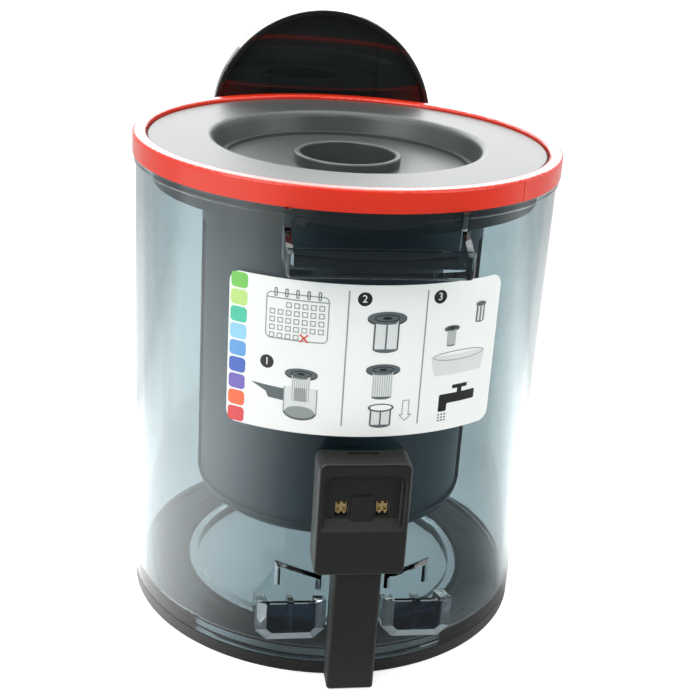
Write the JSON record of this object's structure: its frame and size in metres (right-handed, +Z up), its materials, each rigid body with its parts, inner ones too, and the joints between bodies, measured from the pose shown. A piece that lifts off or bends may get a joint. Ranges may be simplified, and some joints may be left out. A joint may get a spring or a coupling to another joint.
{
  "type": "cyclone dust bin",
  "caption": "Clear round dust bin of a stick vacuum with a lift-out lid and pleated filter in a mesh cage, a flapped suction inlet and power contacts passed round to the tube.",
  "frame": {"origin": "middle of the clear disc in the floor that the bin stands on", "axes": "+Z up along the bin's axis and out of the air outlet, +Y out of the suction tube socket at the back, so the contact housing, label and latch pocket face -Y"},
  "size_m": [0.116, 0.1716, 0.1594],
  "materials": {
    "clear_plastic": "clear smoky moulding, polished",
    "ring_plastic": "glossy red moulding",
    "black_plastic": "fine grained matt moulding",
    "gloss_black": "piano black moulding",
    "carrier_plastic": "plain moulding",
    "contact_metal": "gilt",
    "wire_sheath": "soft sheath",
    "steel": "zinc plated",
    "rubber": "soft, matt",
    "lid_plastic": "semi-matt dark grey moulding",
    "filter_foam": "cast soft polyurethane",
    "core_plastic": "plain moulding",
    "filter_paper": "pleated filter paper",
    "cage_plastic": "satin moulding",
    "cage_mesh": "fine nylon mesh",
    "label_film": "printed film"
  },
  "bodies": {
    "bin": {"bin_shell": "clear_plastic", "left_hook_block": "clear_plastic", "right_hook_block": "clear_plastic", "rim_ring": "ring_plastic", "base_ring": "black_plastic", "front_cable_duct": "black_plastic", "rear_cable_duct": "black_plastic", "contact_housing": "black_plastic", "contact_carrier": "carrier_plastic", "left_front_contact": "contact_metal", "right_front_contact": "contact_metal", "left_wire": "wire_sheath", "right_wire": "wire_sheath", "inlet_gasket": "rubber", "inlet_housing": "black_plastic", "inlet_screws": "steel", "flap_pin": "steel", "tube_contact_carrier": "carrier_plastic", "left_tube_pin": "contact_metal", "right_tube_pin": "contact_metal", "back_plate": "gloss_black", "label": "label_film"},
    "flap": {"inlet_flap": "carrier_plastic"},
    "filter": {"filter_lid": "lid_plastic", "lid_gasket": "rubber", "filter_top_cap": "filter_foam", "filter_core": "core_plastic", "filter_pleats": "filter_paper", "filter_end_cap": "filter_foam"},
    "cage": {"cage_frame": "cage_plastic", "cage_mesh": "cage_mesh"}
  },
  "joints": [
    {"name": "flap_hinge", "type": "hinge", "parent": "bin", "child": "flap", "pos_m": [0, 0.0512, 0.11665], "axis": [-1, 0, 0], "range_deg": [0, 15]},
    {"name": "filter_lift", "type": "slide", "parent": "bin", "child": "filter", "axis": [0, 0, 1], "range_m": [0, 0.11]},
    {"name": "cage_twist", "type": "hinge", "parent": "filter", "child": "cage", "pos_m": [0, 0, 0.118], "axis": [0, 0, 1], "range_deg": [0, 20]}
  ]
}
